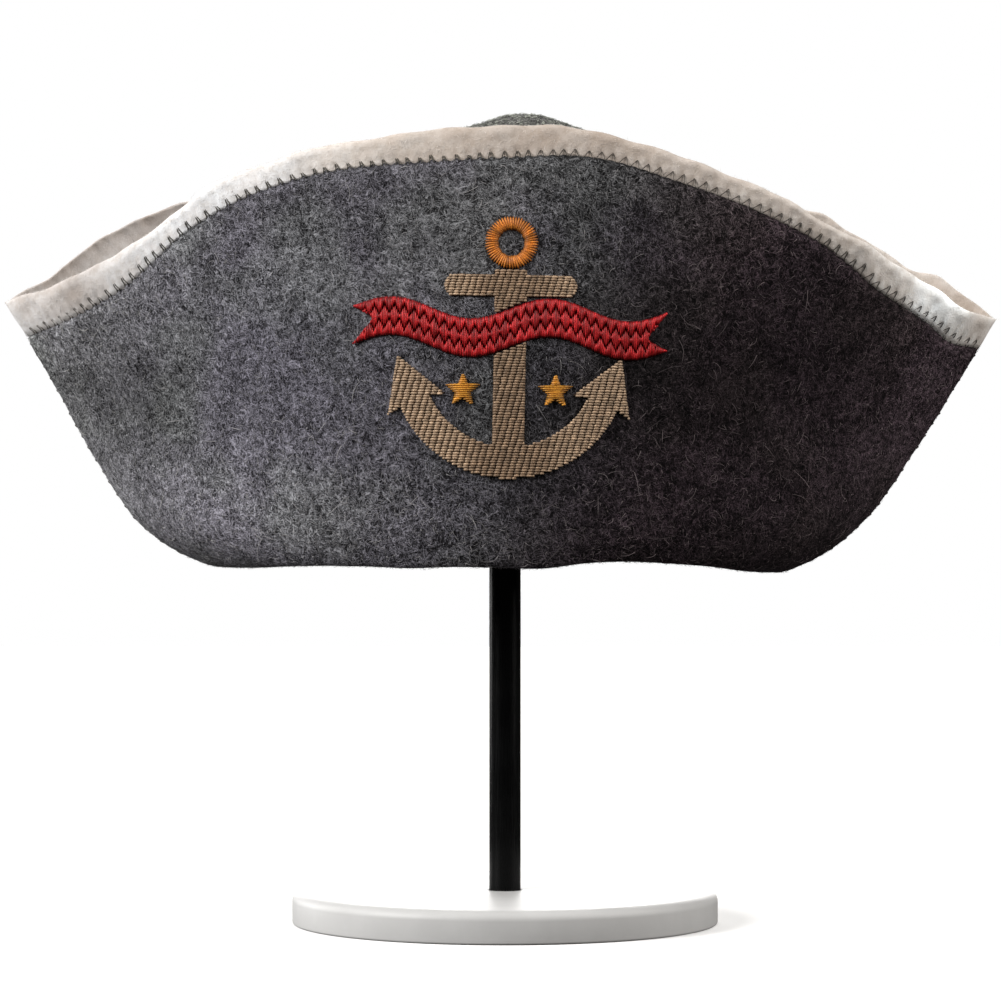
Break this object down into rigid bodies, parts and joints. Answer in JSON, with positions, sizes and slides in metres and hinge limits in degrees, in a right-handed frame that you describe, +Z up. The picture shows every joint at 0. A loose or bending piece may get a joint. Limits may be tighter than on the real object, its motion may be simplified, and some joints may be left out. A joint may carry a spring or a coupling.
{
  "type": "sauna hat on stand",
  "caption": "Two-cornered felt sauna hat with a domed crown, upturned brim, contrasting edging and an embroidered anchor, on a round-based rod stand.",
  "frame": {"origin": "on the floor, under the middle of the whole, at the middle of the stand's foot to within 2 mm", "axes": "+Z up, +X towards the right-hand tip as seen from the front, the hat's front faces -Y"},
  "size_m": [0.395, 0.1732, 0.323],
  "materials": {
    "crown_felt": "soft grey-green wool felt, matt",
    "brim_felt": "mottled grey wool felt with loose pale fibres, matt",
    "trim_felt": "soft cream wool felt, matt",
    "khaki_thread": "embroidery thread with a low sheen",
    "red_thread": "embroidery thread with a sheen",
    "orange_thread": "embroidery thread with a sheen",
    "white_lacquer": "satin white lacquer on board",
    "black_steel": "satin black paint"
  },
  "bodies": {
    "root": {"crown": "crown_felt", "brim_front": "brim_felt", "brim_back": "brim_felt", "trim_front": "trim_felt", "trim_back": "trim_felt", "emblem_anchor_head": "khaki_thread", "emblem_anchor_foot": "khaki_thread", "emblem_ribbon": "red_thread", "emblem_ring": "orange_thread", "emblem_star_left": "orange_thread", "emblem_star_right": "orange_thread", "stand_base": "white_lacquer", "stand_rod": "black_steel", "stand_rest": "black_steel"}
  },
  "joints": []
}
